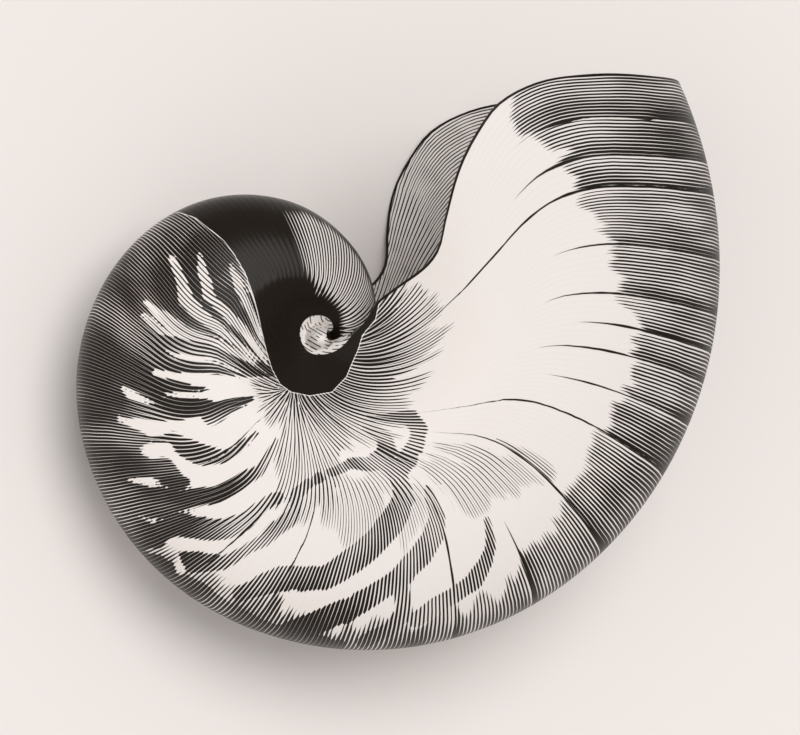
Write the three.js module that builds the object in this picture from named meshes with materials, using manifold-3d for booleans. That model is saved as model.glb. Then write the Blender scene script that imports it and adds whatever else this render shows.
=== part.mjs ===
// A whole nautilus shell, lying on one flank as it does on a table.
// Millimetres, +Z up. The shell is drawn around its coil axis first, with that axis along Z and the
// median plane of the coil at Z = 0, and is laid down at the end.
import * as THREE from "three";
import { mergeVertices } from "three/addons/utils/BufferGeometryUtils.js";
import Module from "manifold-3d";

const degrees = THREE.MathUtils.degToRad;

// The coil. Angles are about the coil axis, in degrees, and grow towards the mouth.
const MOUTH_ANGLE = 35; // where the keel meets the mouth
// Angle, and the radius of the keel there.
const KEEL = [
  [-480, 5.6], [-420, 9.3], [-360, 15.2], [-325, 20.5], [-292, 27.8], [-260, 38.0], [-225, 49.7],
  [-180, 61.8], [-135, 71.6], [-90, 81.5], [-45, 94.5], [0, 110.0], [MOUTH_ANGLE, 122.9], [80, 141.0],
];

// The whorl's section, from the keel to the coil axis.
const HALF_WIDTH = 42; // at the mouth
const WIDTH_GROWTH = 3.0; // how much the width grows in one turn
const SHOULDER = 0.43; // share of the radius where the whorl is widest
const ROUNDNESS = 2.2; // exponent of the keel's curve, where 2 is an ellipse
const UMBILICUS = 0.45; // share of the half width that is left at the axis
const KEEL_STEPS = 11;
const FLANK_SHARES = [0.87, 0.74, 0.61, 0.49, 0.38, 0.28, 0.19, 0.11, 0.03]; // of the shoulder's radius

// The edge of the mouth: share of the radius, and the angle that the edge reaches there.
const LIP = [
  [0.0, -12], [0.045, -8], [0.07, 9.5], [0.094, 21.5], [0.125, 34.5], [0.16, 37], [0.24, 37.6],
  [0.282, 40.5], [0.324, 47.5], [0.378, 53], [0.432, 55.5], [0.5, 56.2], [0.56, 55.7], [0.65, 52],
  [0.758, 46], [0.891, 39.3], [1.0, MOUTH_ANGLE],
];

// The living chamber.
const WALL = 2.2;
const CHAMBER_ANGLE = -95; // where the last septum meets the outer wall
const SEPTUM_DEPTH = 15; // degrees that the septum's bowl reaches back
const SEPTUM_RINGS = 5;
const SEPTUM_FULLNESS = 0.8; // 1 is half an ellipsoid, less is a flatter bowl
const SEAM = 0.085; // share of the radius where the chamber ends beside the axis
const PAST_MOUTH = 14; // degrees that the chamber's cutter runs past the lip
const SIPHON_RADIUS = 2.2;
const SIPHON_DEPTH = 9;
const SIPHON_SHARE = 0.46; // of the septum's radius

// The callus that fills the umbilicus on both flanks.
const CALLUS_RADIUS = 5;
const CALLUS_HEIGHT = 15.5; // above the median plane

// Where one stretch of the coil ends and the next begins, and the angle between sections.
const INNER_START = -480;
const INNER_END = -300;
const OUTER_END = -132;
const INNER_STEP = 9;
const OUTER_STEP = 6;

// How the shell lies: its coil axis leans by this much, towards this direction.
const LEAN = 12.91;
const LEAN_TOWARDS = -155.8;

// The height at x of a smooth curve through points that are given as [x, height].
function curveThrough(points, x) {
  const last = points.length - 1;
  let i = 0;
  while (i < last - 1 && points[i + 1][0] < x) i++;
  const slope = (k) => {
    const before = points[Math.max(k - 1, 0)];
    const after = points[Math.min(k + 1, last)];
    return (after[1] - before[1]) / (after[0] - before[0]);
  };
  const [x0, y0] = points[i];
  const [x1, y1] = points[i + 1];
  const span = x1 - x0;
  const t = (x - x0) / span;
  const blend = t * t * (3 - 2 * t);
  const lift = slope(i) * t * (1 - t) ** 2 - slope(i + 1) * t * t * (1 - t);
  return y0 * (1 - blend) + y1 * blend + span * lift;
}

// The radius of the keel. It grows by a share per degree, so the curve runs through its logarithm.
const KEEL_LOGARITHMS = KEEL.map(([angle, radius]) => [angle, Math.log(radius)]);
function keelRadius(angle) {
  return Math.exp(curveThrough(KEEL_LOGARITHMS, angle));
}

// Half the whorl's greatest width.
function halfWidth(angle) {
  return HALF_WIDTH * WIDTH_GROWTH ** ((angle - MOUTH_ANGLE) / 360);
}

// The section as rows of [share of the radius, share of the half width], from the keel inwards.
function sectionRows() {
  const rows = [];
  for (let i = 0; i <= KEEL_STEPS; i++) {
    const a = ((Math.PI / 2) * i) / KEEL_STEPS;
    const out = Math.abs(Math.cos(a)) ** (2 / ROUNDNESS);
    rows.push([SHOULDER + (1 - SHOULDER) * out, Math.sin(a) ** (2 / ROUNDNESS)]);
  }
  rows[KEEL_STEPS][0] = SHOULDER;
  for (const share of FLANK_SHARES) {
    rows.push([SHOULDER * share, UMBILICUS + ((1 - UMBILICUS) * (1 - Math.cos(Math.PI * share))) / 2]);
  }
  return rows;
}

// The angle that the lip reaches at a share of the radius.
function lipAngle(share) {
  return curveThrough(LIP, share);
}

// A point on the outside, on the upper flank, where row is a share of the radius and of the width.
function flankPoint(angle, [out, up]) {
  const radius = keelRadius(angle) * out;
  const a = degrees(angle);
  return new THREE.Vector3(radius * Math.cos(a), radius * Math.sin(a), halfWidth(angle) * up);
}

// The same point moved inwards through the wall.
function insidePoint(angle, rows, j) {
  const before = rows[Math.max(j - 1, 0)];
  const after = rows[Math.min(j + 1, rows.length - 1)];
  const here = flankPoint(angle, rows[j]);
  const start = flankPoint(angle, before);
  if (j === 0) start.z = -flankPoint(angle, after).z;
  if (j === 0) start.setX(flankPoint(angle, after).x).setY(flankPoint(angle, after).y);
  const across = flankPoint(angle, after).sub(start);
  const along = flankPoint(angle + 1, rows[j]).sub(flankPoint(angle - 1, rows[j]));
  const inwards = new THREE.Vector3().crossVectors(across, along).normalize();
  return here.addScaledVector(inwards, WALL);
}

// One whole section: down the upper flank to the keel and back along the lower flank.
function wholeSection(upper) {
  const lower = upper.slice(1).map((p) => new THREE.Vector3(p.x, p.y, -p.z));
  return [...upper].reverse().concat(lower);
}

// A closed geometry through sections that all have the same number of points.
function loft(sections) {
  const count = sections[0].length;
  const half = (count - 1) / 2;
  const positions = sections.flatMap((s) => s.flatMap((p) => [p.x, p.y, p.z]));
  const faces = [];
  for (let i = 0; i < sections.length - 1; i++) {
    for (let j = 0; j < count; j++) {
      const a = i * count + j;
      const b = i * count + ((j + 1) % count);
      faces.push(a, b, a + count, b, b + count, a + count);
    }
  }
  const end = (sections.length - 1) * count;
  for (let j = 0; j < half; j++) {
    const k = count - 1 - j;
    faces.push(j, k, j + 1, end + j, end + j + 1, end + k);
    if (j + 1 < half) faces.push(j + 1, k, k - 1, end + j + 1, end + k - 1, end + k);
  }
  const geometry = new THREE.BufferGeometry();
  geometry.setAttribute("position", new THREE.Float32BufferAttribute(positions, 3));
  return geometry.setIndex(faces);
}

const wasm = await Module();
wasm.setup();

function solidOf(geometry) {
  const bare = geometry.clone();
  bare.deleteAttribute("normal");
  bare.deleteAttribute("uv");
  const merged = mergeVertices(bare, 1e-4);
  return new wasm.Manifold(
    new wasm.Mesh({
      numProp: 3,
      vertProperties: merged.attributes.position.array,
      triVerts: new Uint32Array(merged.index.array),
    }),
  );
}

// A stretch of the coil, solid to the axis, between two angles.
function whorl(from, to, step) {
  const rows = sectionRows();
  const count = Math.round((to - from) / step);
  const sections = [];
  for (let i = 0; i <= count; i++) {
    const angle = from + ((to - from) * i) / count;
    sections.push(wholeSection(rows.map((row) => flankPoint(angle, row))));
  }
  return loft(sections);
}

// The last stretch, whose end follows the lip.
function lastWhorl(from, step) {
  const rows = sectionRows();
  const count = Math.round((MOUTH_ANGLE - from) / step);
  const sections = [];
  for (let i = 0; i <= count; i++) {
    const upper = rows.map((row) => {
      const angle = from + ((lipAngle(row[0]) - from) * i) / count;
      return flankPoint(angle, row);
    });
    sections.push(wholeSection(upper));
  }
  return loft(sections);
}

// The room inside the last stretch, from the bowl of the septum to past the lip.
function chamber(step) {
  const rows = sectionRows().filter((row) => row[0] > SEAM);
  rows.push([SEAM, UMBILICUS + ((1 - UMBILICUS) * (1 - Math.cos((Math.PI * SEAM) / SHOULDER))) / 2]);
  const sections = [];
  for (let k = SEPTUM_RINGS; k > 0; k--) {
    const back = (k / SEPTUM_RINGS) * SEPTUM_FULLNESS;
    const size = Math.sqrt(1 - back * back) * (k === SEPTUM_RINGS ? 0.08 : 1);
    const angle = CHAMBER_ANGLE - SEPTUM_DEPTH * (k / SEPTUM_RINGS);
    const upper = rows.map((row, j) => insidePoint(angle, rows, j));
    const middle = upper[0].clone().add(upper[upper.length - 1]).multiplyScalar(0.5).setZ(0);
    sections.push(wholeSection(upper.map((p) => p.clone().sub(middle).multiplyScalar(size).add(middle))));
  }
  const count = Math.round((MOUTH_ANGLE - CHAMBER_ANGLE) / step);
  for (let i = 0; i <= count + 1; i++) {
    const upper = rows.map((row, j) => {
      const reach = lipAngle(row[0]) - CHAMBER_ANGLE;
      const past = i > count ? PAST_MOUTH : 0;
      return insidePoint(CHAMBER_ANGLE + (reach * Math.min(i, count)) / count + past, rows, j);
    });
    sections.push(wholeSection(upper));
  }
  return loft(sections);
}

// The small tube through the middle of the septum.
function siphon() {
  const angle = CHAMBER_ANGLE - SEPTUM_DEPTH;
  const tube = new THREE.CylinderGeometry(SIPHON_RADIUS, SIPHON_RADIUS, 2 * SIPHON_DEPTH, 12);
  const radius = keelRadius(angle) * SIPHON_SHARE;
  tube.applyMatrix4(new THREE.Matrix4().makeTranslation(radius, 0, 0));
  tube.applyMatrix4(new THREE.Matrix4().makeRotationZ(degrees(angle)));
  return tube;
}

// The callus: one long ellipsoid along the coil axis, which shows as a low dome on each flank.
function callus() {
  return new THREE.SphereGeometry(1, 20, 16).scale(CALLUS_RADIUS, CALLUS_HEIGHT, CALLUS_RADIUS)
    .rotateX(Math.PI / 2);
}

function shellSolid() {
  const early = solidOf(whorl(INNER_START, INNER_END, INNER_STEP))
    .add(solidOf(whorl(INNER_END, OUTER_END, OUTER_STEP)));
  const room = solidOf(chamber(OUTER_STEP)).add(solidOf(siphon())).subtract(early);
  return early.add(solidOf(lastWhorl(OUTER_END, OUTER_STEP))).subtract(room).add(solidOf(callus()));
}

function geometryOf(solid) {
  const mesh = solid.getMesh();
  const geometry = new THREE.BufferGeometry();
  geometry.setAttribute("position", new THREE.BufferAttribute(mesh.vertProperties, 3));
  geometry.setIndex(new THREE.BufferAttribute(mesh.triVerts, 1));
  geometry.computeVertexNormals();
  return geometry;
}

// Leans the coil axis as the shell lies, and sets it down with its box centred over the origin.
function laidDown(geometry) {
  const towards = degrees(LEAN_TOWARDS);
  const hinge = new THREE.Vector3(-Math.sin(towards), Math.cos(towards), 0);
  geometry.applyQuaternion(new THREE.Quaternion().setFromAxisAngle(hinge, degrees(LEAN)));
  geometry.computeBoundingBox();
  const { min, max } = geometry.boundingBox;
  return geometry.translate(-(min.x + max.x) / 2, -(min.y + max.y) / 2, -min.z);
}

const shell = new THREE.Mesh(
  laidDown(geometryOf(shellSolid())),
  new THREE.MeshStandardMaterial({ color: 0xece6e0, roughness: 0.35, metalness: 0 }),
);
shell.name = "shell";

const model = new THREE.Group();
model.add(shell);
export default model;
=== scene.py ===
# %% [markdown]
# # A nautilus shell
#
# The object is a whole nautilus shell that lies on one flank. It is one grown piece, so it is one
# mesh here. The shell is made as it grows: one section of the whorl, carried round the coil axis
# and made larger as it goes. Its markings are given in the shell's own measures: the angle round
# the coil, the share of the radius, and millimetres across the flank from the coil axis. So they
# follow the surface, and both flanks have them.

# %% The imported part
import math

import bpy
import numpy as np
from mathutils import Matrix, Vector


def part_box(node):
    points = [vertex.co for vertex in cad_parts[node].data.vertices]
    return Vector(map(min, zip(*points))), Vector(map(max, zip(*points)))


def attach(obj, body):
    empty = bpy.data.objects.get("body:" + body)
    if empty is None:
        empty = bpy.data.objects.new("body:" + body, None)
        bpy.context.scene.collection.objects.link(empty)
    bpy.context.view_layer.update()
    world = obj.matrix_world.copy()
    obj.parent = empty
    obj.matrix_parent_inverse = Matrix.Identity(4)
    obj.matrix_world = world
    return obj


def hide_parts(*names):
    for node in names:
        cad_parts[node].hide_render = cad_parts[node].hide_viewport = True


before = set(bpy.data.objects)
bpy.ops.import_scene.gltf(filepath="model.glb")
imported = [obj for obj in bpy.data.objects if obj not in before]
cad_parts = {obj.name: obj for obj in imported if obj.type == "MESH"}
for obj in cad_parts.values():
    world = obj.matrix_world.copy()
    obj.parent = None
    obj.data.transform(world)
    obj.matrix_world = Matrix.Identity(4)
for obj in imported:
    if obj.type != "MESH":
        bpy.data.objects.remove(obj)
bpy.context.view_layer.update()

MM = 0.001

# %% [markdown]
# ## How the shell lies
#
# A nautilus shell has no foot. It rolls onto one flank, and the coil axis leans a little, because
# the mouth is wider than the rest. The lean and the place of the coil axis are the ones of the
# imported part, so that the fine mesh lands on it.

# %% From the shell's own axes to the table
LEAN = math.radians(12.91)
LEAN_TOWARDS = math.radians(-155.8)
COIL_CENTRE = Vector((-23.95, 5.29, 32.83)) * MM

hinge = Vector((-math.sin(LEAN_TOWARDS), math.cos(LEAN_TOWARDS), 0))
lie = Matrix.Rotation(LEAN, 3, hinge)
print("the coil axis points to", [round(v, 3) for v in lie @ Vector((0, 0, 1))])

# %% [markdown]
# ## The camera
#
# The picture shows the flank from a little to the left, with the far edge of the mouth in sight
# behind the near one. A long lens from about a metre gives the same flat view. The camera stands
# on the line through the coil centre, and turns to the middle of the picture.

# %% Camera
VIEW_FROM_LEFT = math.radians(10)
VIEW_FROM_BELOW = math.radians(2)
VIEW_DISTANCE = 1100 * MM
PICTURE_SCALE = 3.73 / MM
PICTURE_WIDTH = 800
MIDDLE_RIGHT_OF_COIL = 23.6 * MM
MIDDLE_BELOW_COIL = 7.1 * MM

forward = lie @ Vector((
    math.sin(VIEW_FROM_LEFT) * math.cos(VIEW_FROM_BELOW),
    math.sin(VIEW_FROM_BELOW),
    -math.cos(VIEW_FROM_LEFT) * math.cos(VIEW_FROM_BELOW),
))
right = lie @ Vector((math.cos(VIEW_FROM_LEFT), 0, math.sin(VIEW_FROM_LEFT)))
up = right.cross(forward)

camera = bpy.data.objects.new("camera", bpy.data.cameras.new("camera"))
bpy.context.scene.collection.objects.link(camera)
bpy.context.scene.camera = camera
camera.data.sensor_width = 36
camera.data.lens = 36 * PICTURE_SCALE * VIEW_DISTANCE / PICTURE_WIDTH
camera.data.clip_end = 20
camera.location = COIL_CENTRE - forward * VIEW_DISTANCE
aim = COIL_CENTRE + right * MIDDLE_RIGHT_OF_COIL - up * MIDDLE_BELOW_COIL
look = (aim - camera.location).normalized()
across = look.cross(up).normalized()
camera.rotation_mode = "QUATERNION"
camera.rotation_quaternion = Matrix((across, across.cross(look), -look)).transposed().to_quaternion()
print("lens", round(camera.data.lens, 1), "mm, looking", [round(v, 3) for v in look])

# %% [markdown]
# ## The coil
#
# A nautilus shell is close to a logarithmic spiral: each turn is about three times as large as the
# one before. The one in the picture winds tighter on the inside, so the keel's radius is given at
# a few angles, and a smooth curve runs through its logarithm. The same small function is used for
# every curve below.

# %% The radius of the keel and the width of the whorl
MOUTH_ANGLE = 35
KEEL = [
    (-480, 5.6), (-420, 9.3), (-360, 15.2), (-325, 20.5), (-292, 27.8), (-260, 38.0),
    (-225, 49.7), (-180, 61.8), (-135, 71.6), (-90, 81.5), (-45, 94.5), (0, 110.0),
    (MOUTH_ANGLE, 122.9), (80, 141.0),
]
HALF_WIDTH = 42
WIDTH_GROWTH = 3.0


def curve_through(points, x):
    """The height at x of a smooth curve through points that are given as (x, height)."""
    xs, ys = np.array(points, float).T
    x = np.clip(x, xs[0], xs[-1])
    i = np.clip(np.searchsorted(xs, x) - 1, 0, len(xs) - 2)
    before = np.maximum(np.arange(len(xs)) - 1, 0)
    after = np.minimum(np.arange(len(xs)) + 1, len(xs) - 1)
    slope = (ys[after] - ys[before]) / (xs[after] - xs[before])
    span = xs[i + 1] - xs[i]
    t = (x - xs[i]) / span
    blend = t * t * (3 - 2 * t)
    lift = slope[i] * t * (1 - t) ** 2 - slope[i + 1] * t * t * (1 - t)
    return ys[i] * (1 - blend) + ys[i + 1] * blend + span * lift


def keel_radius(angle):
    return np.exp(curve_through([(a, math.log(r)) for a, r in KEEL], angle))


def half_width(angle):
    return HALF_WIDTH * WIDTH_GROWTH ** ((angle - MOUTH_ANGLE) / 360)


print("keel radius one turn apart:", np.round(keel_radius(np.array([-325.0, MOUTH_ANGLE])), 1), "mm")

# %% [markdown]
# ## The section and the lip
#
# From the keel the section runs over the round shoulder, where the whorl is widest, and sinks
# towards the axis into the umbilicus. The lip isn't straight: it bulges forward on each flank and
# is drawn back at the keel and beside the umbilicus.

# %% Rows of the section, and the angle of the lip
SHOULDER = 0.43
ROUNDNESS = 2.2
UMBILICUS = 0.45
AXIS_GAP = 0.03
KEEL_ROWS = 40
FLANK_ROWS = 36
CROWDING_TO_AXIS = 1.4
LIP = [
    (0.0, -12), (0.045, -8), (0.07, 9.5), (0.094, 21.5), (0.125, 34.5), (0.16, 37), (0.24, 37.6),
    (0.282, 40.5), (0.324, 47.5), (0.378, 53), (0.432, 55.5), (0.5, 56.2), (0.56, 55.7), (0.65, 52),
    (0.758, 46), (0.891, 39.3), (1.0, MOUTH_ANGLE),
]


def flank_height(share):
    return UMBILICUS + (1 - UMBILICUS) * (1 - np.cos(np.pi * share / SHOULDER)) / 2


def section_rows():
    """Rows of (share of the radius, share of the half width), from the keel to the axis."""
    turn = np.linspace(0, np.pi / 2, KEEL_ROWS)
    out = np.abs(np.cos(turn)) ** (2 / ROUNDNESS)
    keel = np.stack([SHOULDER + (1 - SHOULDER) * out, np.sin(turn) ** (2 / ROUNDNESS)], 1)
    keel[-1, 0] = SHOULDER
    share = AXIS_GAP + (SHOULDER - AXIS_GAP) * np.linspace(1, 0, FLANK_ROWS)[1:] ** CROWDING_TO_AXIS
    return np.concatenate([keel, np.stack([share, flank_height(share)], 1)])


def lip_angle(share):
    return curve_through(LIP, share)


rows = section_rows()
print(len(rows), "rows from the keel to the axis")

# %% [markdown]
# ## A stretch of the coil as a mesh
#
# Each section is a closed ring of points, down the upper flank to the keel and back along the
# lower flank. A stretch of the coil is a loft through such rings, closed at both ends. Stretches
# stay under one turn, so that none runs into itself, and are joined afterwards. Every point keeps
# its angle and its share of the radius, because all the markings are worked out from those two.

# %% Points of a stretch
def flank_points(angle, row):
    """Points on the upper flank, for an array of angles and one of rows, as one array."""
    radius = keel_radius(angle) * row[..., 0]
    turn = np.radians(angle)
    return np.stack([radius * np.cos(turn), radius * np.sin(turn), half_width(angle) * row[..., 1]], -1)


def mirrored(points):
    return points * np.array([1, 1, -1])


def whole_sections(upper):
    """Rings from arrays of the upper flank: sections by rows, or sections by rows by three."""
    lower = mirrored(upper) if upper.ndim == 3 else upper
    return np.concatenate([upper[:, ::-1], lower[:, 1:]], 1)


def stretch(first, last, step, to_lip=False):
    """(points, angle, share, side) of a stretch of the coil from one angle to another."""
    count = math.ceil((last - first) / step)
    part = np.linspace(0, 1, count + 1)[:, None]
    end = lip_angle(rows[:, 0])[None] if to_lip else last
    angle = first + (end - first) * part + 0 * rows[None, :, 0]
    row = np.broadcast_to(rows, (count + 1, *rows.shape))
    side = np.ones_like(angle)
    ring_side = np.concatenate([side[:, ::-1], -side[:, 1:]], 1)
    ring_share = whole_sections(row[..., 0])
    return whole_sections(flank_points(angle, row)), whole_sections(angle), ring_share, ring_side


print("a stretch of 10 degrees has", stretch(-10, 0, 1)[0].shape[:2], "sections and points")

# %% [markdown]
# ## Growth lines
#
# Each growth line is an earlier edge of the mouth. The lines run from the umbilicus to the keel.
# On young whorls they sweep forward near the umbilicus, and on the last half turn they bulge
# forward on the flank more and more, until they have the shape of the lip. So the age of a point
# isn't its angle alone, but the angle at which its growth line reaches the keel.

# %% The age of a point
LOBE = [
    (-480, -35), (-300, -35), (-285, -28), (-270, -16), (-255, -7), (-240, 0), (-220, 5), (-207, 18),
    (-195, 21), (-170, 21), (-150, 17), (-136, 17), (-124, 12), (-105, 8), (-90, 7), (-65, 7),
    (-50, 5.5), (-38, 4.2), (-12, 3), (-5, 4.5), (4, 7), (12, 10), (20, 12.5), (29, 18),
    (MOUTH_ANGLE, 21),
]
LOBE_SHAPE = [(0, 1), (0.5, 1), (0.56, 0.97), (0.65, 0.8), (0.76, 0.5), (0.89, 0.2), (1, 0)]
EARLY_SHARPNESS = [(-480, 0.25), (-255, 0.25), (-228, 1), (60, 1)]
SWEEP = [
    (-480, 10), (-250, 10), (-235, 16), (-220, 22), (-207, 28), (-195, 27), (-180, 19), (-165, 10),
    (-148, 3), (-124, -5), (-100, -12), (-80, -21), (-62, -22), (-40, -26), (-16, -26), (7, -19),
    (20, -13), (MOUTH_ANGLE, -12),
]
SWEEP_SHAPE = [
    (0, 6), (0.09, 4), (0.16, 2.8), (0.2, 2.2), (0.26, 1.4), (0.3, 1), (0.35, 0.6), (0.4, 0.33),
    (0.46, 0.1), (0.56, 0), (1, 0),
]
LINE_SPACING = [
    (-480, 0.85), (-200, 0.85), (-170, 0.92), (-135, 1.0), (-90, 1.22), (-50, 1.1), (-20, 1.18),
    (0, 1.02), (20, 0.97), (80, 0.97),
]
AGE_ROUNDS = 40
AGE_STEP = 0.4


def age_of(angle, share):
    """The angle at which the growth line through a point reaches the keel."""
    lobe = np.maximum(curve_through(LOBE_SHAPE, share), 0) ** curve_through(EARLY_SHARPNESS, angle)
    sweep = curve_through(SWEEP_SHAPE, share)
    age = np.array(angle, float)
    for _ in range(AGE_ROUNDS):
        found = angle - curve_through(LOBE, age) * lobe - curve_through(SWEEP, age) * sweep
        age += AGE_STEP * (found - age)
    return age


def line_number(age):
    """Growth lines counted along the keel, so that they are about as far apart at every age."""
    grid = np.arange(-700, 120.0)
    ahead = np.cumsum(keel_radius(grid) * math.radians(1) / curve_through(LINE_SPACING, grid))
    return np.interp(age, grid, ahead)


def line_gap(points, number):
    """Millimetres between growth lines at each point of a grid."""
    along, across = np.gradient(points, axis=0), np.gradient(points, axis=1)
    rise_along, rise_across = np.gradient(number, axis=0), np.gradient(number, axis=1)
    long2, wide2, both = (along ** 2).sum(-1), (across ** 2).sum(-1), (along * across).sum(-1)
    area2 = np.maximum(long2 * wide2 - both ** 2, 1e-9)
    steep2 = long2 * rise_across ** 2 - 2 * both * rise_along * rise_across + wide2 * rise_along ** 2
    return np.clip(np.sqrt(area2 / np.maximum(steep2, 1e-9)), 0.05, 4)


last_turn = line_number(MOUTH_ANGLE) - line_number(MOUTH_ANGLE - 360)
print("growth lines in the last turn:", round(float(last_turn)))

# %% [markdown]
# ## Where the markings are
#
# Three kinds of marking lie on the shell. A black film covers the whorl inside the mouth and the
# umbilicus. Flame stripes run inwards from the dark back on the older half of the last whorl. And a
# few growth rests show as single strong lines. The film and the dark back are closed outlines, and
# each stripe is a row of points on its middle line with its half width at each. All are measured in
# millimetres across the flank from the coil axis. Pale flames are cut out of the dark the same way.

# %% The film, the stripes and the pale flames
FILM = [
    (-37, 34), (-33, 32), (-30, 29), (-26.5, 26), (-23.8, 22), (-21, 17), (-19, 11), (-17, 4),
    (-15.2, -3), (-13.8, -8), (-11.8, -12), (-9, -14), (-4, -15), (2, -14), (6, -10), (9, -3),
    (10, 1), (13, 5), (14, 12), (0, 70), (-60, 70),
]
FILM_ALL_OVER = -230
# Angles past which the film shows pale lines: partly wear, partly a painted highlight.
WEAR_AND_HIGHLIGHT_ANGLES = (-240, -268)
DARK_BACK = [
    (-34, 37), (-26, 26), (-20, 13), (-16, 0), (-13, -10), (-23, -10), (-31, -9), (-40, -9),
    (-46, -8), (-46, -12), (-43, -14), (-46, -17), (-54, -18), (-55, -22), (-48, -25), (-46, -27),
    (-50, -30), (-46, -32), (-41, -33), (-36, -38), (-41, -41), (-40, -45), (-42, -47), (-39, -50),
    (-43, -56), (-38, -61), (-32, -64), (-23, -70), (-16, -74), (-5, -77), (7, -80), (9, -95),
    (-30, -95), (-60, -66), (-80, -37), (-85, -3), (-75, 30), (-52, 52), (-36, 46),
]
STRIPES = [
    [(-46, -12, 1.9), (-39, -13, 1.3), (-32, -14, 0.4)],
    [
        (-52, -18, 2.9), (-40, -19, 2.7), (-33, -18, 2.1), (-30, -20, 2.7), (-26, -18, 1.6),
        (-20, -16, 0.5),
    ],
    [(-33, -18, 1.6), (-31, -22, 1.3)],
    [(-54, -26, 1.1), (-46, -27, 0.8), (-40, -26, 1.1)],
    [
        (-41, -26, 1.3), (-37, -29, 2.4), (-33, -31, 2.4), (-28, -31, 1.6), (-24, -29, 0.9),
        (-19, -25, 0.4),
    ],
    [(-49, -35, 2.1), (-43, -34, 2.4), (-38, -38, 1.1)],
    [
        (-43, -44, 2.4), (-35, -42, 2.1), (-29, -41, 1.9), (-24, -38, 1.9), (-19, -35, 1.2),
        (-17, -32, 0.9), (-14, -27, 0.4),
    ],
    [
        (-45, -50, 3.5), (-38, -49, 2.9), (-33, -50, 2.7), (-27, -50, 2.4), (-22, -48, 2.1),
        (-19, -45, 1.6), (-15, -42, 1.3), (-13, -42, 1.3),
    ],
    [
        (-37, -59, 2.9), (-32, -59, 2.4), (-27, -59, 1.6), (-22, -56, 1.2), (-17, -53, 1.5),
        (-14, -50, 1.9), (-10, -47, 1.9),
    ],
    [
        (-22, -67, 2.1), (-17, -65, 2.4), (-12, -63, 2.9), (-6, -63, 2.9), (-1, -63, 2.9),
        (4, -60, 3.2), (9, -56, 3.2), (13, -52, 3.2), (17, -47, 3.2), (19, -42, 2.7),
        (18, -38, 2.1), (16, -35, 1.6),
    ],
    [
        (-8, -77, 2.4), (-2, -75, 3.2), (5, -72, 3.2), (10, -69, 2.7), (16, -65, 2.4),
        (20, -62, 2.7), (24, -57, 2.9), (27, -52, 2.7), (28, -47, 1.9), (26, -42, 1.2),
        (25, -39, 0.5),
    ],
    [(12, -80, 2.1), (18, -77, 2.1), (21, -72, 1.9), (20, -67, 1.6), (18, -63, 1.1)],
    [
        (25, -74, 2.4), (30, -70, 2.1), (34, -68, 2.1), (39, -64, 2.4), (42, -59, 1.7),
        (43, -55, 1.3), (42, -50, 0.8), (41, -47, 0.4),
    ],
    [
        (11, -21, 0.8), (17, -21, 1.3), (21, -21, 1.9), (23, -24, 1.9), (22, -28, 1.9),
        (19, -33, 2.4), (15, -35, 1.9),
    ],
    [(10, -24, 1.1), (14, -26, 1.9), (15, -30, 1.9), (12, -32, 2.1)],
    [(-9, -46, 1.1), (-9, -41, 1.6), (-4, -37, 1.3), (1, -35, 1.1), (5, -33, 1.1), (11, -33, 1.9)],
]
FLAME_SPREAD = 0.1
PALE_FLAMES = [
    [(-33, 22, 0.8), (-31, 11, 1.6), (-22, 2, 1.3), (-15, -7, 0.4)],
    [(-40, 21, 0.7), (-38, 15, 1.3), (-37, 10, 2.1), (-33, 6, 1.9), (-27, 1, 1.1), (-18, -6, 0.4)],
    [(-25, 20, 0.4), (-23, 13, 1.1), (-18, 3, 0.9), (-15, -5, 0.3)],
    [(-47, 9, 0.7), (-44, 6, 1.6), (-37, 1, 1.6), (-30, -1, 1.1), (-22, -5, 0.9), (-16, -9, 0.4)],
    [(-48, 6, 0.4), (-44, 2, 1.1), (-38, 0, 0.4)],
    [(-46, -2, 0.3), (-40, -5, 0.7), (-31, -6, 0.8), (-23, -9, 0.4)],
    [(-53, -13, 0.7), (-51, -15, 1.2), (-46, -17, 0.5)],
    [(-51, -37, 0.5), (-46, -38, 1.2), (-42, -39, 0.5)],
    [(-48, -47, 0.5), (-45, -48, 0.9), (-42, -47, 0.4)],
    [(-45, -56, 0.5), (-42, -56, 0.9), (-39, -57, 1.1), (-37, -61, 1.1)],
]


def smooth_step(low, high, value):
    t = np.clip((value - low) / (high - low), 0, 1)
    return t * t * (3 - 2 * t)


def to_segment(x, y, a, b):
    """(share of the way from a to b at which the nearest point is, distance to that point)."""
    wide, high = b[0] - a[0], b[1] - a[1]
    t = np.clip(((x - a[0]) * wide + (y - a[1]) * high) / (wide ** 2 + high ** 2), 0, 1)
    return t, np.hypot(x - a[0] - t * wide, y - a[1] - t * high)


def inside_outline(x, y, outline):
    """Millimetres inside a closed outline, or less than nought outside it."""
    ring = np.array(outline, float)
    nearest = np.full(x.shape, 1e9)
    crossings = np.zeros(x.shape, int)
    for (ax, ay), (bx, by) in zip(ring, np.roll(ring, -1, 0)):
        nearest = np.minimum(nearest, to_segment(x, y, (ax, ay), (bx, by))[1])
        beside = (ay > y) != (by > y)
        reach = ax + (y - ay) * (bx - ax) / np.where(beside, by - ay, 1)
        crossings += beside & (x < reach)
    return np.where(crossings % 2 == 1, nearest, -nearest)


def inside_stroke(x, y, stroke):
    """Millimetres inside a stroke of changing width."""
    best = np.full(x.shape, -1e9)
    for a, b in zip(stroke, stroke[1:]):
        t, away = to_segment(x, y, a, b)
        best = np.maximum(best, a[2] + t * (b[2] - a[2]) - away)
    return best


def inside_stripes(x, y):
    """Millimetres inside the dark pattern, which is the dark back and the stripes less the pale flames."""
    dark = inside_outline(x, y, DARK_BACK)
    for stroke in STRIPES:
        dark = np.maximum(dark, inside_stroke(x, y, stroke))
    for stroke in PALE_FLAMES:
        dark = np.minimum(dark, -inside_stroke(x, y, stroke) - FLAME_SPREAD)
    return np.clip(dark, -6, 6)


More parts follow.
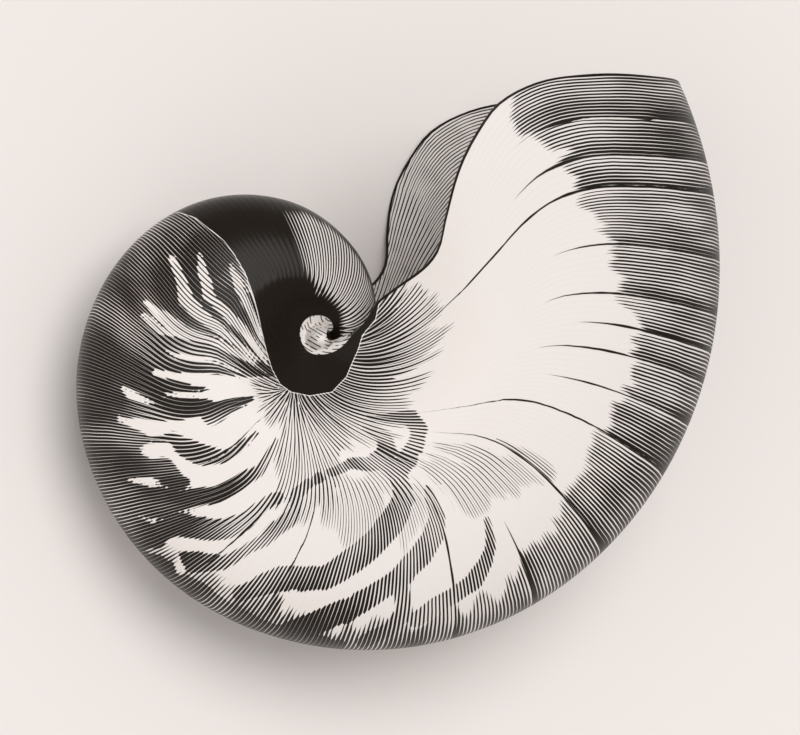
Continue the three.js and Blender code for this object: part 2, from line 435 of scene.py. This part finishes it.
def inside_film(x, y, angle):
    """Millimetres inside the black film, which covers every whorl behind the last one."""
    return np.clip(np.maximum(inside_outline(x, y, FILM), 2 * (FILM_ALL_OVER - angle)), -9, 9)


in_crescent = inside_stripes(np.array([4.0]), np.array([-60.0]))[0]
print("the middle of the long crescent is", round(float(in_crescent), 1), "mm inside the dark pattern")

# %% [markdown]
# The growth rests are given by age, each with the shares of the radius between which it shows on
# the flank. Between two rests the index runs evenly from one whole number to the next, so the
# shader finds a rest wherever the index is whole. The fine lines are painted shade from a start on
# the shoulder out to the keel, darkest at the keel, and in a fan around the umbilicus out to a
# reach, darkest towards the axis. They also show in a few faint areas between the stripes.

# %% The growth rests, the callus, the painted shade and the faint lines
RESTS = [
    (-400, 1, 1), (-148, 0.34, 0.65), (-119.5, 0.58, 0.9), (-103, 0.52, 0.95), (-65, 0.45, 1.1),
    (-50, 0.7, 1.1), (-36, 0.36, 1.1), (-20.5, 0.3, 1.1), (-12.5, 0.53, 1.1), (-6, 0.48, 1.1),
    (-1.5, 0.57, 1.1), (3.5, 0.48, 1.1), (11, 0.52, 1.1), (20, 0.18, 1.1), (24, 0.47, 1.1),
    (28.7, 0.52, 1.1), (70, 1, 1),
]
# Where the painted shade on the shoulder starts, as a share of the radius at each angle.
PAINTED_SHADE_START = [
    (-480, 0.99), (-130, 0.96), (-118, 0.9), (-100, 0.89), (-60, 0.88), (-41, 0.81), (-30, 0.76),
    (-24, 0.75), (-14, 0.7), (-6, 0.75), (2, 0.72), (12, 0.66), (20, 0.65), (26, 0.62), (38, 0.6),
    (43, 0.57), (60, 0.56),
]
# How far out from the axis the painted shade in the umbilicus reaches, as a share of the radius.
PAINTED_FAN_SHADE_REACH = [
    (-480, 0.2), (-170, 0.27), (-150, 0.32), (-135, 0.36), (-118, 0.38), (-113, 0.5), (-108, 0.6),
    (-95, 0.6), (-88, 0.5), (-84, 0.36), (-75, 0.34), (-65, 0.36), (-50, 0.33), (-40, 0.27),
    (-25, 0.26), (0, 0.27), (20, 0.25), (40, 0.2), (60, 0.15),
]
FAINT_AREAS = [
    [(-38, 24), (-22, 23), (-16, 0), (-24, -6), (-42, -3), (-50, 6), (-47, 13)],
    [(-5, -38), (11, -34), (16, -37), (14, -50), (6, -57), (-3, -53)],
    [(18, -38), (26, -40), (27, -50), (20, -60), (17, -52)],
    [(26, -28), (44, -27), (59, -33), (58, -38), (46, -42), (41, -47), (31, -45), (22, -35)],
]
CALLUS = [
    (0.4, 6.6), (-3.2, 6), (-5.2, 3), (-4.9, -0.6), (-3.2, -3.4), (-0.6, -4.2), (2.9, -3.6),
    (5.6, -1.7), (8, 2), (4.9, 0.2), (2.8, -0.5), (1.6, -0.2), (1.2, 1), (1.7, 2.2), (2.4, 2.8),
    (3.6, 2.2), (3.8, 3.6), (2.8, 5.4),
]
SWIRL_CENTRE = (3.3, 6.8)
# How dark the painted shade is on the shoulder, at the keel and in the umbilicus.
PAINTED_SHOULDER_SHADE = 0.53
PAINTED_SHOULDER_SHADE_RISE = 0.22
PAINTED_KEEL_SHADE_RISE = 0.12
PAINTED_FAN_SHADE = 0.33
PAINTED_FAN_SHADE_RISE = 0.4
FAN_INNER_RADIUS = 15
FAINT_TONE = 0.24
FAINT_RISE = 0.12


def rounded(outline, rounds=2):
    """A closed outline with its corners cut off again and again."""
    ring = np.array(outline, float)
    for _ in range(rounds):
        after = np.roll(ring, -1, 0)
        ring = np.stack([ring * 0.75 + after * 0.25, ring * 0.25 + after * 0.75], 1).reshape(-1, 2)
    return ring


def fine_lines(x, y, angle, share):
    """(millimetres inside the areas of painted shade and faint lines, how dark they are there)."""
    radius = keel_radius(angle)
    start = curve_through(PAINTED_SHADE_START, angle)
    shoulder = (share - start) * radius
    fan = (curve_through(PAINTED_FAN_SHADE_REACH, angle) - share) * radius
    faint = np.maximum.reduce([inside_outline(x, y, rounded(area)) for area in FAINT_AREAS])
    # Painted shade, darker towards the keel and darkest at it.
    painted_shoulder_shade = PAINTED_SHOULDER_SHADE + PAINTED_SHOULDER_SHADE_RISE * smooth_step(0, 1, (share - start) / (1 - start + 0.01))
    painted_shoulder_shade += PAINTED_KEEL_SHADE_RISE * smooth_step(0.93, 1, share)
    # Painted shade in the umbilicus, darker towards the axis.
    painted_fan_shade = PAINTED_FAN_SHADE + PAINTED_FAN_SHADE_RISE * smooth_step(12, -1, share * radius - FAN_INNER_RADIUS)
    faint_tone = FAINT_TONE + FAINT_RISE * smooth_step(-10, 4, y)
    tones = [(shoulder, painted_shoulder_shade), (fan, painted_fan_shade), (faint, faint_tone)]
    edge = np.maximum.reduce([depth for depth, _ in tones])
    tone = np.maximum.reduce([tone * smooth_step(-3, 0, depth) for depth, tone in tones])
    return np.clip(edge, -9, 9), tone


def markings(points, angle, share, side):
    """Every marking, with the painted shade and the painted highlight, at every point, by name."""
    x, y = points[..., 0], points[..., 1]
    age = age_of(angle, share)
    number = line_number(age)
    radius = keel_radius(angle) * share
    ages, starts, ends = np.array(RESTS).T
    whole = np.arange(len(RESTS))
    index = np.interp(age, ages, whole)
    gap = np.interp(index, whole[:-1] + 0.5, np.diff(ages))
    strength = smooth_step(-0.02, 0.14, share - np.interp(index, whole, starts))
    strength *= smooth_step(-0.02, 0.06, np.interp(index, whole, ends) - share)
    edge, tone = fine_lines(x, y, angle, share)
    # Pale lines in the film over the inner whorl: partly wear, partly a painted highlight.
    wear_and_highlight = smooth_step(*WEAR_AND_HIGHLIGHT_ANGLES, angle) * smooth_step(0.16, 0.5, share) * smooth_step(1.04, 0.84, share)
    return {
        "line_number": number,
        "line_gap": line_gap(points, number),
        "share": share,
        "film": inside_film(x, y, angle),
        "stripe": inside_stripes(x, y),
        "dark_back": np.clip(inside_outline(x, y, DARK_BACK), -20, 6),
        "callus": inside_outline(x, y, rounded(CALLUS)),
        "swirl": np.hypot(x - SWIRL_CENTRE[0], y - SWIRL_CENTRE[1]),
        "rest_index": index,
        "rest_gap": gap * np.radians(1) * radius,
        "rest_strength": strength,
        "lip": np.clip((lip_angle(share) - angle) * np.radians(1) * radius, 0, 30),
        "painted_shade_and_faint_edge": edge,
        "painted_shade_and_faint_tone": tone,
        "wear_and_highlight": wear_and_highlight,
        "side": side,
        "inside": 0 * share,
    }


print(len(RESTS) - 2, "growth rests")

# %% [markdown]
# ## Building the meshes
#
# The rings become a closed mesh of four-sided faces. The markings are stored on the corners of its
# faces, because joining and cutting carries such values over to the new faces.

# %% A closed mesh through rings
def ring_faces(sections, points):
    """Faces of a loft through rings, with both ends closed across from flank to flank."""
    i, j = np.meshgrid(np.arange(sections - 1), np.arange(points), indexing="ij")
    near, far = i * points + j, i * points + (j + 1) % points
    sides = np.stack([near, far, far + points, near + points], -1).reshape(-1, 4)
    j = np.arange((points - 1) // 2 - 1)
    start = np.stack([j, points - 1 - j, points - 2 - j, j + 1], -1)
    middle = (points - 1) // 2
    tip = [middle - 1, middle + 1, middle]
    last = (sections - 1) * points
    end = start[:, ::-1] + last
    return [*sides.tolist(), *start.tolist(), *end.tolist(), tip, [v + last for v in tip[::-1]]]


def loft_object(name, points, fields):
    mesh = bpy.data.meshes.new(name)
    mesh.from_pydata(points.reshape(-1, 3).tolist(), [], ring_faces(*points.shape[:2]))
    vertex = np.empty(len(mesh.loops), np.int32)
    mesh.loops.foreach_get("vertex_index", vertex)
    for field, values in fields.items():
        corner = mesh.attributes.new(field, "FLOAT", "CORNER")
        corner.data.foreach_set("value", values.reshape(-1)[vertex].astype(np.float32))
    found = bpy.data.objects.new(name, mesh)
    bpy.context.scene.collection.objects.link(found)
    return found


def combined(first, second, operation):
    """First joined with second, or cut by it. Second is used up."""
    modifier = first.modifiers.new("combine", "BOOLEAN")
    modifier.operation = operation
    modifier.solver = "MANIFOLD"
    modifier.object = second
    graph = bpy.context.evaluated_depsgraph_get()
    mesh = bpy.data.meshes.new_from_object(first.evaluated_get(graph))
    first.modifiers.clear()
    first.data = mesh
    bpy.data.objects.remove(second)
    return first


INNER_START = -480
INNER_END = -300
OUTER_END = -132


def outer_stretch(name, first, last, step, to_lip=False):
    points, angle, share, side = stretch(first, last, step, to_lip)
    return loft_object(name, points, markings(points, angle, share, side))


def early_whorls():
    inner = outer_stretch("inner whorls", INNER_START, INNER_END, 2.5)
    return combined(inner, outer_stretch("middle whorl", INNER_END, OUTER_END, 1), "UNION")


shell = early_whorls()
print("early whorls:", len(shell.data.polygons), "faces")

# %% [markdown]
# ## The living chamber
#
# Behind the lip the last third of the coil is hollow. Its room is the same section moved inwards
# through the wall, and it starts as a bowl, because the last septum is dished towards the coil's
# start. The wall thins towards the lip and its inner edge is rounded off. The whorl before bulges
# into the room as its floor, so that whorl is cut out of the room first.

# %% The room
WALL = 2.2
LIP_WALL = 1.1
THINNING = 14
ROUNDING = 0.45
CHAMBER_ANGLE = -95
SEPTUM_DEPTH = 15
SEPTUM_RINGS = 16
SEPTUM_FULLNESS = 0.8
SEAM = 0.085
PAST_MOUTH = 14


def inside_points(angle, row, wall):
    """Points of the upper flank moved inwards through the wall."""
    here = flank_points(angle, row)
    before = np.concatenate([mirrored(here[:, 1:2]), here[:, :-1]], 1)
    after = np.concatenate([here[:, 1:], here[:, -1:]], 1)
    along = flank_points(angle + 0.5, row) - flank_points(angle - 0.5, row)
    inwards = np.cross(after - before, along)
    return here + inwards / np.linalg.norm(inwards, axis=-1, keepdims=True) * np.asarray(wall)[..., None]


def chamber_rows():
    open_rows = rows[rows[:, 0] > SEAM]
    return np.concatenate([open_rows, [[SEAM, flank_height(SEAM)]]])


def septum_sections(row):
    """The bowl behind the room, from its deepest point forward."""
    back = np.linspace(1, 0, SEPTUM_RINGS)[:-1, None] * np.ones(len(row))
    angle = CHAMBER_ANGLE - SEPTUM_DEPTH * back
    upper = inside_points(angle, np.broadcast_to(row, (*angle.shape, 2)), np.full(angle.shape, WALL))
    middle = (upper[:, :1] + upper[:, -1:]) / 2 * np.array([1, 1, 0])
    size = np.sqrt(1 - (back * SEPTUM_FULLNESS) ** 2)
    size[0] *= 0.05
    return (upper - middle) * size[..., None] + middle, angle


def room_sections(row, step):
    """The room from the bowl to past the lip."""
    ahead = lip_angle(row[:, 0]) - CHAMBER_ANGLE
    part = np.linspace(0, 1, math.ceil(ahead.max() / step))
    before_lip = np.maximum(THINNING * (1 - np.linspace(0, 1, 9)), 0.12)
    angle = [CHAMBER_ANGLE + (ahead - THINNING) * p for p in part[:-1]]
    angle += [CHAMBER_ANGLE + ahead - b for b in before_lip]
    angle += [CHAMBER_ANGLE + ahead + p for p in (0.0, 0.3, PAST_MOUTH)]
    angle = np.stack(angle)
    to_lip = CHAMBER_ANGLE + ahead - angle
    wall = LIP_WALL + (WALL - LIP_WALL) * smooth_step(0, THINNING, to_lip)
    wall -= ROUNDING * smooth_step(0.5, 0, to_lip)
    return inside_points(angle, np.broadcast_to(row, (*angle.shape, 2)), wall), angle


def chamber_object():
    row = chamber_rows()
    bowl, bowl_angle = septum_sections(row)
    room, room_angle = room_sections(row, 1.6)
    points = whole_sections(np.concatenate([bowl, room]))
    angle = whole_sections(np.concatenate([bowl_angle, room_angle]))
    share = whole_sections(np.broadcast_to(row[:, 0], (len(angle), len(row))))
    fields = markings(points, angle, share, np.ones_like(share))
    fields["inside"] = np.ones_like(share)
    return loft_object("room", points, fields)


room = chamber_object()
print("room:", len(room.data.polygons), "faces")

# %% [markdown]
# The small tube through the septum is a plain cylinder, and the callus that fills the umbilicus is
# one long ellipsoid along the coil axis, which shows as a low dome on each flank.

# %% The tube and the callus
SIPHON_RADIUS = 2.2
SIPHON_DEPTH = 9
SIPHON_SHARE = 0.46
CALLUS_RADIUS = 5
CALLUS_HEIGHT = 15.5


def plain_solid(name, points, inside):
    """A closed mesh through rings that has the markings of its place near the coil axis."""
    radius = np.hypot(points[..., 0], points[..., 1])
    fields = markings(points, -100 + 0 * radius, 0 * radius + 0.05, np.sign(points[..., 2]))
    fields["inside"] = inside + 0 * radius
    return loft_object(name, points, fields)


def siphon():
    angle = math.radians(CHAMBER_ANGLE - SEPTUM_DEPTH)
    radius = float(keel_radius(CHAMBER_ANGLE - SEPTUM_DEPTH)) * SIPHON_SHARE
    turn = np.linspace(0, 2 * np.pi, 33, endpoint=False)[None]
    along = np.array([-SIPHON_DEPTH, SIPHON_DEPTH])[:, None]
    out = radius + SIPHON_RADIUS * np.cos(turn) + 0 * along
    x = out * math.cos(angle) - along * math.sin(angle)
    y = out * math.sin(angle) + along * math.cos(angle)
    return plain_solid("siphon", np.stack([x, y, SIPHON_RADIUS * np.sin(turn) + 0 * x], -1), 1)


def callus():
    turn = np.linspace(0, 2 * np.pi, 49, endpoint=False)[None]
    rise = np.linspace(-0.499 * np.pi, 0.499 * np.pi, 41)[:, None]
    wide = CALLUS_RADIUS * np.cos(rise)
    points = np.stack([wide * np.cos(turn), wide * np.sin(turn), CALLUS_HEIGHT * np.sin(rise) + 0 * turn], -1)
    return plain_solid("callus", points, 0)


tube = siphon()
dome = callus()
print("tube and callus:", len(tube.data.polygons), len(dome.data.polygons), "faces")

# %% [markdown]
# ## One piece
#
# The room is joined with the tube and freed of the early whorls, then it is cut from the whole
# coil. The callus is joined on last.

# %% Joining and cutting
def copy_of(source):
    found = source.copy()
    found.data = source.data.copy()
    bpy.context.scene.collection.objects.link(found)
    return found


room = combined(room, tube, "UNION")
room = combined(room, copy_of(shell), "DIFFERENCE")
shell = combined(shell, outer_stretch("last whorl", OUTER_END, MOUTH_ANGLE, 0.9, to_lip=True), "UNION")
shell = combined(shell, room, "DIFFERENCE")
shell = combined(shell, dome, "UNION")
shell.name = shell.data.name = "nautilus_shell"
shell.data.transform(Matrix.Translation(COIL_CENTRE) @ lie.to_4x4() @ Matrix.Scale(MM, 4))
shell.data.shade_smooth()
print("the shell has", len(shell.data.vertices), "points and", len(shell.data.polygons), "faces")

low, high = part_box("shell")
corners = np.array([v.co for v in shell.data.vertices])
below = np.round((corners.min(0) - np.array(low)) / MM, 2)
above = np.round((corners.max(0) - np.array(high)) / MM, 2)
print("off the packed box by", below, above, "mm")

# %% [markdown]
# Creases stay sharp: the lip's edges, and the line where the last whorl lies on the one before.

# %% Sharp creases
CREASE = math.radians(38)
shell.data.set_sharp_from_angle(angle=CREASE)
sharp = np.zeros(len(shell.data.edges), bool)
shell.data.attributes["sharp_edge"].data.foreach_get("value", sharp)
print(int(sharp.sum()), "sharp edges")

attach(shell, "root")
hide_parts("shell")

# %% [markdown]
# ## Sums inside a material
#
# Blender's Math nodes can do any sum on the stored values, but wiring them by hand hides what is
# meant. So a wire here is a number inside the material: a plus between two wires adds a node.

# %% Wires
class Wire:
    """A number inside a material. Sums on wires add Math nodes to it."""

    def __init__(self, tree, socket):
        self.tree, self.socket = tree, socket

    def math(self, operation, *others):
        node = self.tree.nodes.new("ShaderNodeMath")
        node.operation = operation
        for slot, value in zip(node.inputs, (self, *others)):
            put(self.tree, slot, value)
        return Wire(self.tree, node.outputs[0])

    def __add__(self, other):
        return self.math("ADD", other)

    def __sub__(self, other):
        return self.math("SUBTRACT", other)

    def __mul__(self, other):
        return self.math("MULTIPLY", other)

    def __truediv__(self, other):
        return self.math("DIVIDE", other)

    def most(self, other):
        return self.math("MAXIMUM", other)

    def least(self, other):
        return self.math("MINIMUM", other)

    def rise(self, low, high):
        """0 below low, 1 above high, and a smooth rise between."""
        node = self.tree.nodes.new("ShaderNodeMapRange")
        node.interpolation_type = "SMOOTHSTEP"
        for slot, value in zip(node.inputs, (self, low, high)):
            put(self.tree, slot, value)
        return Wire(self.tree, node.outputs[0])

    def flipped(self):
        """1 less this."""
        return (self * -1) + 1

    def exponent_of(self, base):
        node = self.tree.nodes.new("ShaderNodeMath")
        node.operation = "POWER"
        node.inputs[0].default_value = base
        put(self.tree, node.inputs[1], self)
        return Wire(self.tree, node.outputs[0])


def put(tree, slot, value):
    if isinstance(value, Wire):
        tree.links.new(value.socket, slot)
    else:
        slot.default_value = value


def stored(tree, name):
    node = tree.nodes.new("ShaderNodeAttribute")
    node.attribute_name = name
    return Wire(tree, node.outputs["Fac"])


def cloud(tree, size, detail=2.0, x=None, y=None, z=None):
    """Soft noise from 0 to 1, in space or over the wires x, y and z. Size is that of a blotch."""
    node = tree.nodes.new("ShaderNodeTexNoise")
    node.inputs["Scale"].default_value = 1 / size
    node.inputs["Detail"].default_value = detail
    if x is None:
        place = tree.nodes.new("ShaderNodeNewGeometry").outputs["Position"]
    else:
        joined = tree.nodes.new("ShaderNodeCombineXYZ")
        for slot, value in zip(joined.inputs, (x, y, z)):
            put(tree, slot, value)
        place = joined.outputs[0]
    tree.links.new(place, node.inputs["Vector"])
    return Wire(tree, node.outputs[0])


def between(amount, under, over):
    return under + (over - under) * amount


def mixed(tree, amount, under, over):
    """A colour between two, each a wire's socket or four numbers."""
    node = tree.nodes.new("ShaderNodeMix")
    node.data_type = "RGBA"
    put(tree, node.inputs["Factor"], amount)
    for slot, colour in ((node.inputs[6], under), (node.inputs[7], over)):
        put(tree, slot, Wire(tree, colour) if isinstance(colour, bpy.types.NodeSocket) else colour)
    return node.outputs[2]


print("a wire can be added to, multiplied, and eased between two heights")

# %% [markdown]
# ## The finish of the shell
#
# The shell is porcelain-like and nearly white, with a faint warm tone. Its pigment is laid down at
# the growing edge, one growth line at a time, so stripes are made of fine lines with ragged ends,
# and painted shade is drawn with the same fine lines: the wider the dark part of each line, the
# darker the place. The lines come together towards the umbilicus. Where they would be too close,
# every second one tapers out, as real growth lines do, and the ones that are left grow wider by as
# much.

# %% Growth lines at an even distance
LEAST_GAP = 0.52
FULL_GAP = 0.72
LINE_EDGE = 0.06


class Lines:
    """The growth lines of a material, and what is dark where they are a given share of the shell."""

    def __init__(self, tree, wander):
        gap = stored(tree, "line_gap")
        doublings = (gap / LEAST_GAP).math("LOGARITHM", 2).math("FLOOR") * -1
        self.apart = doublings.most(0).exponent_of(2)
        self.gap = gap * self.apart
        place = (stored(tree, "line_number") + wander) / self.apart
        self.pair = (place / 2).math("ROUND")
        self.across = place.math("PINGPONG", 1)
        self.second = self.gap.rise(LEAST_GAP, FULL_GAP)

    def dark(self, tone):
        """1 in the dark part of a line and 0 outside it. The dark part is pigment in some places and painted
        shade in others.
        """
        half = tone * self.second / 2
        first = (tone - half - self.across) * self.gap
        other = (self.across - 1 + half) * self.gap
        return first.most(other).rise(-LINE_EDGE, LINE_EDGE) * tone.rise(0.02, 0.1)


print("lines are at least", LEAST_GAP, "mm apart")

# %% [markdown]
# How dark a place is comes from the stored areas: pigment, and painted shade. Each line has its own
# random reach, so that the ends of the lines are ragged, and slow noise makes bands in the dark back
# and bundles in the painted shade. The noise is laid out by the distance from the keel, so that it
# runs on from one flank to the other without a seam.

# %% How dark each place is
PALE = (0.86, 0.80, 0.765, 1)
PALE_WARM = (0.83, 0.755, 0.71, 1)
PIGMENT = (0.012, 0.008, 0.005, 1)
NACRE = (0.76, 0.705, 0.67, 1)
STRIPE_TONE = 0.58
BACK_RISE = 0.32
FILM_TONE = 1.5
# How dark the film is where it shows pale lines of wear and painted highlight.
WEAR_AND_HIGHLIGHT_TONE = 0.52


def from_keel(tree):
    """How far a place is from the keel: 0 there, less on one flank and more on the other."""
    return (stored(tree, "share") - 1) * stored(tree, "side")


def darkness(tree, lines):
    """How much of each growth line is dark, from 0 to 1: pigment, painted shade on the shoulder and around
    the umbilicus, and faint lines between the stripes.
    """
    number, place = stored(tree, "line_number"), from_keel(tree)
    reach = cloud(tree, 1, 0, lines.pair * 3.7, place * 3, 0) - 0.5
    patchy = cloud(tree, 1, 2, number * 0.11, place * 5, 0) - 0.5
    bands = cloud(tree, 1, 1, number * 0.045, place * 2.5, 0) - 0.5
    stripe = (stored(tree, "stripe") + reach * 1.3 + patchy * 0.5).rise(-0.6, 0.15)
    back = stored(tree, "dark_back").rise(-18, -1) * BACK_RISE
    dense = (bands * 1.1 + patchy * 0.5 + back + STRIPE_TONE).most(0.45).least(0.97)
    bundle = cloud(tree, 1, 1, number * 0.12, place * 2, 5) - 0.5
    # Painted shade in fine lines, with ragged edges and bundles.
    painted_shade_and_faint_edge = (stored(tree, "painted_shade_and_faint_edge") + reach * 8 + bundle * 18).rise(-0.8, 2.4)
    shade = stored(tree, "painted_shade_and_faint_tone") * (patchy * 1.2 + 1)
    rest = stored(tree, "rest_index")
    behind = (rest - rest.math("FLOOR")) * stored(tree, "rest_gap")
    ahead = (rest.math("CEIL") - rest) * stored(tree, "rest_gap")
    # The painted shade is darker on the lip's side of each growth rest and paler on its older side.
    change = behind.rise(4, 0) * 0.24 - ahead.rise(2.2, 0.6) * 0.16
    shade += change * stored(tree, "rest_strength")
    bare = (stored(tree, "film") + 0.17).rise(0, -0.12)
    return (stripe * dense).most(painted_shade_and_faint_edge * shade) * bare


def film_darkness(tree, lines):
    edge = stored(tree, "film").rise(-0.12, 0.12)
    reach = cloud(tree, 1, 0, lines.pair * 5.3, 0, 0) - 0.5
    # Pale lines in the film: partly wear, partly a painted highlight.
    wear_and_highlight = (stored(tree, "wear_and_highlight") + reach * 0.5).rise(0.05, 0.95)
    return edge * (wear_and_highlight * (WEAR_AND_HIGHLIGHT_TONE - FILM_TONE) + FILM_TONE)


def growth_rests(tree):
    """Single dark lines where growth rested: 1 in the line and 0 beside it."""
    index, strength = stored(tree, "rest_index"), stored(tree, "rest_strength")
    away = (index - index.math("ROUND")).math("ABSOLUTE") * stored(tree, "rest_gap")
    wave = cloud(tree, 1, 1, stored(tree, "line_number") * 0.03, from_keel(tree) * 9, 0)
    width = strength * (wave * 0.4 + 0.05) * (stored(tree, "share").rise(0.1, 0.75) * 0.5 + 0.5)
    return (away - width).rise(0.08, -0.08) * strength.rise(0.02, 0.2)


print("pigment", PIGMENT[:3], "on", PALE[:3])

# %% [markdown]
# The film over the inner whorl is glossy black. Where that whorl is widest, pale growth lines show
# through it: partly wear, partly a painted highlight. The callus in the middle of it is white again,
# with a few fine curved lines, and the inside of the living chamber is grey nacre, hatched with fine
# lines of painted shade. The fine lines are also low ridges, so they catch the light.

# %% The material
def shell_material():
    material = bpy.data.materials.new("nautilus shell")
    material.use_nodes = True
    tree = material.node_tree
    finish = tree.nodes["Principled BSDF"]

    wander = (cloud(tree, 12 * MM, 2) - 0.5) * 0.6
    lines = Lines(tree, wander)
    film = film_darkness(tree, lines)
    rim = (stored(tree, "lip") + wander * 0.15).rise(0.75, 0.6)
    outside = lines.dark(darkness(tree, lines).most(film)).most(growth_rests(tree)).most(rim)

    curl = ((stored(tree, "swirl") + wander * 0.3) / 0.95).math("PINGPONG", 0.5) * 2
    broken = cloud(tree, 1.6 * MM, 0).rise(0.42, 0.5)
    dashes = curl.rise(0.36, 0.2) * broken
    callus = stored(tree, "callus").rise(-0.12, 0.06)
    outside = outside * callus.flipped() + dashes * callus

    inside = stored(tree, "inside").rise(0.4, 0.6)
    # Fine lines of painted shade over the inside of the living chamber.
    painted_shade_lines_inside = lines.dark((cloud(tree, 6 * MM, 1) - 0.5) * 0.3 + 0.36)
    dark = between(inside, outside, painted_shade_lines_inside.most(rim))

    blotch = cloud(tree, 22 * MM, 3)
    ground = mixed(tree, (blotch - 0.4) * 0.6, PALE, PALE_WARM)
    ground = mixed(tree, inside, ground, NACRE)
    tree.links.new(mixed(tree, dark, ground, PIGMENT), finish.inputs["Base Color"])

    put(tree, finish.inputs["Roughness"], blotch * 0.1 + 0.3 - film.least(1) * 0.06)
    finish.inputs["Specular IOR Level"].default_value = 0.14

    bump = tree.nodes.new("ShaderNodeBump")
    bump.inputs["Strength"].default_value = 0.35
    bump.inputs["Distance"].default_value = 0.1 * MM
    put(tree, bump.inputs["Height"], lines.across - dark * 0.4 + cloud(tree, 3 * MM, 2) * 0.5)
    tree.links.new(bump.outputs[0], finish.inputs["Normal"])
    return material


shell.data.materials.clear()
shell.data.materials.append(shell_material())
print("the material has", len(shell.data.materials[0].node_tree.nodes), "nodes")

# %% [markdown]
# ## Floor and light
#
# The shell lies on a plain pale floor. Area lights would leave the floor uneven, so two suns with
# very soft edges are used: a key light from the upper right, and a dim one from the lower left that
# fills the shade. The world is pale too, so that the floor is even behind the shell.

# %% Floor
FLOOR_RADIUS = 6.0
FLOOR_COLOUR = (0.88, 0.825, 0.795, 1)


def floor_object():
    turn = np.linspace(0, 2 * np.pi, 97)[:-1]
    ring = np.stack([FLOOR_RADIUS * np.cos(turn), FLOOR_RADIUS * np.sin(turn), 0 * turn], -1)
    mesh = bpy.data.meshes.new("floor")
    mesh.from_pydata(ring.tolist(), [], [list(range(len(ring)))])
    found = bpy.data.objects.new("floor", mesh)
    bpy.context.scene.collection.objects.link(found)
    material = bpy.data.materials.new("floor paper")
    material.use_nodes = True
    finish = material.node_tree.nodes["Principled BSDF"]
    finish.inputs["Base Color"].default_value = FLOOR_COLOUR
    finish.inputs["Roughness"].default_value = 0.9
    mesh.materials.append(material)
    return found


floor = floor_object()
print("floor radius", FLOOR_RADIUS, "m")

# %% Lights
def sun_light(name, towards, wide, strength):
    """A soft sun, which lights the floor evenly, from a direction in the camera's own axes."""
    data = bpy.data.lights.new(name, "SUN")
    data.angle = math.radians(wide)
    data.energy = strength
    found = bpy.data.objects.new(name, data)
    bpy.context.scene.collection.objects.link(found)
    way = (right * towards[0] + up * towards[1] - forward * towards[2]).normalized()
    found.rotation_mode = "QUATERNION"
    found.rotation_quaternion = (-way).to_track_quat("-Z", "Y")
    return way


key = sun_light("key light", (0.45, 0.5, 1.1), 40, 1.45)
sun_light("fill light", (-0.8, -0.5, 1.0), 70, 0.6)
print("key light from", [round(v, 2) for v in key])

world = bpy.data.worlds.new("pale room")
bpy.context.scene.world = world
world.use_nodes = True
world.node_tree.nodes["Background"].inputs["Color"].default_value = (1, 0.985, 0.97, 1)
world.node_tree.nodes["Background"].inputs["Strength"].default_value = 0.5
bpy.context.scene.view_settings.view_transform = "Standard"
